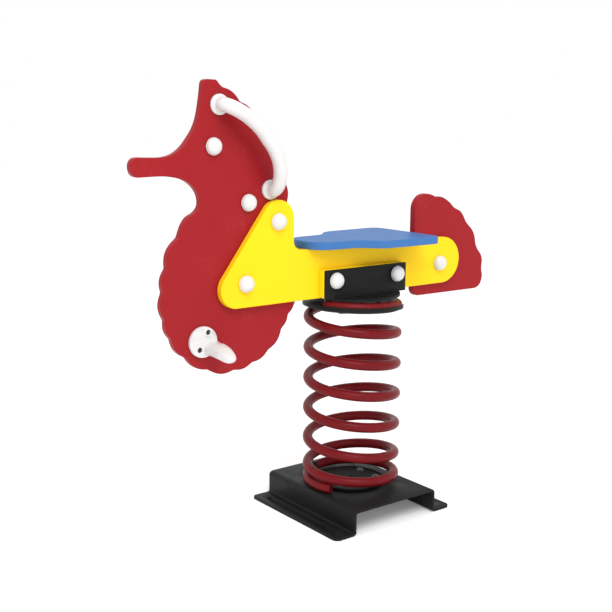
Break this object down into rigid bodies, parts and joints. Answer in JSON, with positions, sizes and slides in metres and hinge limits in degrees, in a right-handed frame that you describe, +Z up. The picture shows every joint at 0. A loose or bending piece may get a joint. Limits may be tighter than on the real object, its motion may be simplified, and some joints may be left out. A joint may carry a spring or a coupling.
{
  "type": "spring rider",
  "caption": "Seahorse-shaped playground spring rider: one seat between side plates, hand grips and foot pegs, on a coil spring bolted to a bent steel base.",
  "frame": {"origin": "on the spring's axis at ground level, at the centre of the four ground fixing holes", "axes": "+Z up along the spring, the animal's snout points to -X, its right-hand side is at +Y"},
  "size_m": [0.8668, 0.286, 0.8614],
  "materials": {
    "black_coat": "satin",
    "red_coat": "semi gloss",
    "red_panel": "fine grain",
    "yellow_panel": "fine grain",
    "blue_panel": "fine grain",
    "white_plastic": "gloss",
    "zinc_steel": "zinc plated"
  },
  "bodies": {
    "base": {"base_plate": "black_coat", "lower_clamp_plate": "black_coat", "lower_clamp_bolts": "zinc_steel", "lower_clamp_nuts": "zinc_steel", "spring_bottom_turn": "red_coat"},
    "spring_low": {"spring_lower_coils": "red_coat"},
    "spring_mid": {"spring_middle_coils": "red_coat"},
    "spring_high": {"spring_upper_coils": "red_coat"},
    "rider": {"spring_top_turn": "red_coat", "upper_clamp_plate": "black_coat", "upper_clamp_bolts": "zinc_steel", "top_bracket": "black_coat", "spacer_near": "yellow_panel", "spacer_far": "yellow_panel", "side_plate_near": "yellow_panel", "side_plate_far": "yellow_panel", "body_panel": "red_panel", "tail_panel": "red_panel", "core_block": "yellow_panel", "seat": "blue_panel", "seat_angles": "zinc_steel", "seat_screws": "zinc_steel", "handle_near": "white_plastic", "handle_far": "white_plastic", "handle_collars_near": "white_plastic", "handle_collars_far": "white_plastic", "handle_rods": "zinc_steel", "footrest_near": "white_plastic", "footrest_far": "white_plastic", "footrest_bolts": "black_coat", "panel_bolts": "zinc_steel", "panel_nuts": "zinc_steel", "cap_washers": "white_plastic", "bolt_caps_near": "white_plastic", "bolt_caps_far": "white_plastic"}
  },
  "joints": [
    {"name": "twist", "type": "hinge", "parent": "base", "child": "spring_low", "pos_m": [0, 0, 0.09], "axis": [0, 0, 1], "range_deg": [-6, 6], "stiffness_Nm_per_rad": 520, "deforming": ["spring_bottom_turn"]},
    {"name": "fore_aft_rock", "type": "hinge", "parent": "spring_low", "child": "spring_mid", "pos_m": [0, 0, 0.191], "axis": [0, 1, 0], "range_deg": [-15, 15], "stiffness_Nm_per_rad": 450, "springref_deg": 0.82, "deforming": ["spring_lower_coils"]},
    {"name": "side_rock", "type": "hinge", "parent": "spring_mid", "child": "spring_high", "pos_m": [0, 0, 0.318], "axis": [1, 0, 0], "range_deg": [-8, 8], "stiffness_Nm_per_rad": 450, "deforming": ["spring_middle_coils"]},
    {"name": "bounce", "type": "slide", "parent": "spring_high", "child": "rider", "axis": [0, 0, 1], "range_m": [-0.018, 0.008], "stiffness_N_per_m": 49000, "springref_m": 0.00236, "deforming": ["spring_upper_coils"]}
  ]
}
